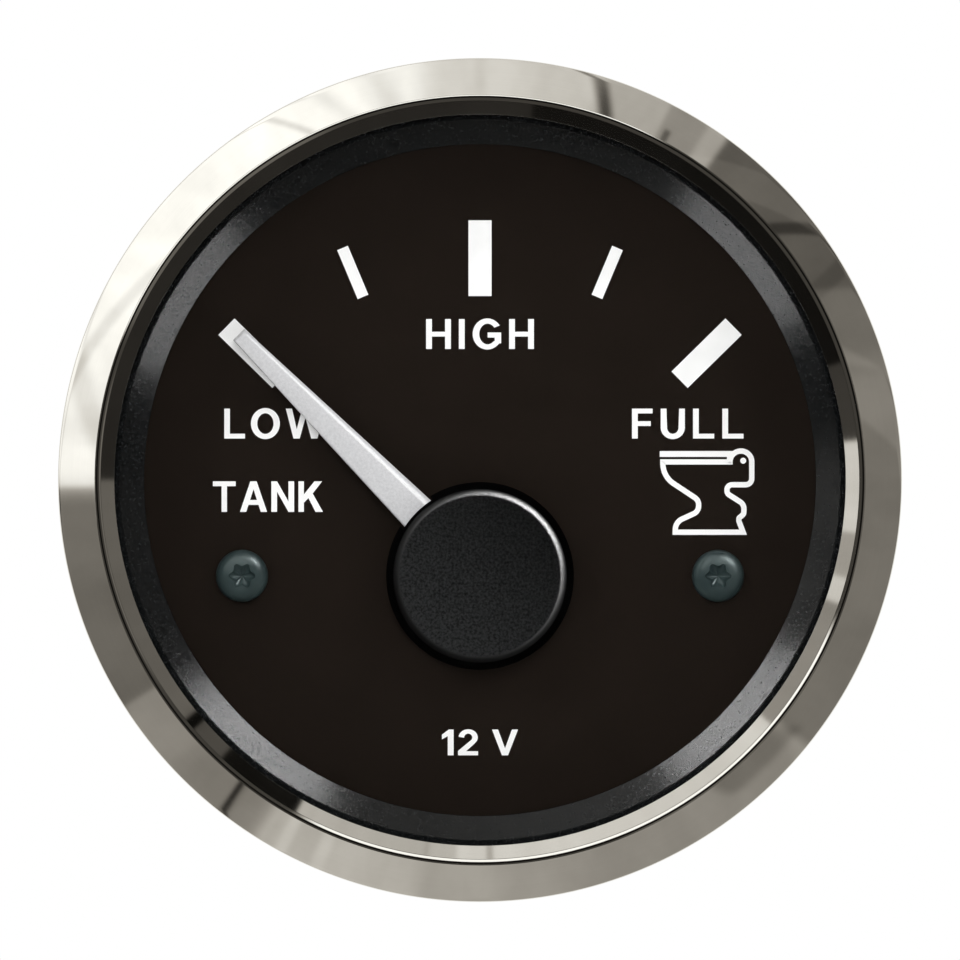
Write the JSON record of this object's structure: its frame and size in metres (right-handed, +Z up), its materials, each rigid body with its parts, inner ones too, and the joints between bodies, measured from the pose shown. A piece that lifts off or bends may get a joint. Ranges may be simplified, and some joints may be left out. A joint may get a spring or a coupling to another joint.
{
  "type": "panel tank level gauge",
  "caption": "Round panel gauge for a holding tank level: steel bezel, black dial, sweeping pointer, moulded barrel and a clamp bracket on threaded studs.",
  "frame": {"origin": "on the gauge's axis, in the plane where the rear face of the panel gasket meets the front of the panel", "axes": "+Y along the gauge's axis, from the dial through the panel to the clamp; the dial faces -Y; +Z up, so the pointer's pivot is below the centre; +X to the right as seen from the front"},
  "size_m": [0.062, 0.0642, 0.062],
  "materials": {
    "polished_steel": "polished",
    "lens_glass": "gloss",
    "seal_rubber": "matte",
    "grained_black": "matte",
    "moulded_black": "satin",
    "dial_black": "satin",
    "printed_white": "satin",
    "dark_zinc": "satin",
    "pointer_silver_white": "satin",
    "gloss_black": "gloss",
    "ground_steel": "polished",
    "magnet": "matte",
    "moulded_white": "satin",
    "board_green": "satin",
    "lamp_lens": "gloss",
    "bobbin_cream": "satin",
    "coil_copper": "satin",
    "can_steel": "satin",
    "brass": "satin",
    "zinc_plate": "satin"
  },
  "bodies": {
    "case": {"bezel": "polished_steel", "lens": "lens_glass", "lens_gasket": "seal_rubber", "panel_gasket": "seal_rubber", "dial_ring": "grained_black", "case": "moulded_black", "dial_plate": "dial_black", "scale_mark_low": "printed_white", "scale_mark_quarter": "printed_white", "scale_mark_half": "printed_white", "scale_mark_three_quarter": "printed_white", "scale_mark_full": "printed_white", "dial_screw_left": "dark_zinc", "dial_screw_right": "dark_zinc", "light_box": "moulded_white", "circuit_board": "board_green", "lamp_1": "lamp_lens", "lamp_2": "lamp_lens", "lamp_3": "lamp_lens", "lamp_4": "lamp_lens", "movement_carrier": "bobbin_cream", "rear_bobbin": "bobbin_cream", "inner_coil_left": "coil_copper", "inner_coil_right": "coil_copper", "outer_coil_lower": "coil_copper", "outer_coil_upper": "coil_copper", "shield_can": "can_steel", "coil_pin_1": "brass", "coil_pin_2": "brass", "coil_pin_3": "brass", "coil_pin_4": "brass", "terminal_stud_sender": "brass", "terminal_stud_ground": "brass", "terminal_stud_supply": "brass", "terminal_nut_sender": "brass", "terminal_nut_ground": "brass", "terminal_nut_supply": "brass", "lamp_blade_ground": "brass", "lamp_blade_supply": "brass", "terminal_washer_sender": "zinc_plate", "terminal_washer_ground": "zinc_plate", "terminal_washer_supply": "zinc_plate", "clamp_stud_left": "zinc_plate", "clamp_stud_right": "zinc_plate"},
    "pointer": {"pointer_needle": "pointer_silver_white", "pointer_cap": "gloss_black", "pointer_spindle": "ground_steel", "magnet_rotor": "magnet"},
    "clamp": {"clamp_bracket": "zinc_plate"},
    "nut_left": {"thumb_nut_left": "zinc_plate"},
    "nut_right": {"thumb_nut_right": "zinc_plate"}
  },
  "joints": [
    {"name": "pointer_sweep", "type": "hinge", "parent": "case", "child": "pointer", "pos_m": [0, 0.0165, -0.00705], "axis": [0, 1, 0], "range_deg": [0, 90]},
    {"name": "clamp_slide", "type": "slide", "parent": "case", "child": "clamp", "axis": [0, 1, 0], "range_m": [-0.0055, 0.006]},
    {"name": "nut_left_turn", "type": "hinge", "parent": "clamp", "child": "nut_left", "pos_m": [-0.019, 0.0423, 0], "axis": [0, 1, 0], "continuous": true},
    {"name": "nut_right_turn", "type": "hinge", "parent": "clamp", "child": "nut_right", "pos_m": [0.019, 0.0423, 0], "axis": [0, 1, 0], "continuous": true}
  ],
  "couplings": [
    {"joint": "nut_left_turn", "follows": "clamp_slide", "rad_per_m": 8976},
    {"joint": "nut_right_turn", "follows": "clamp_slide", "rad_per_m": 8976}
  ]
}
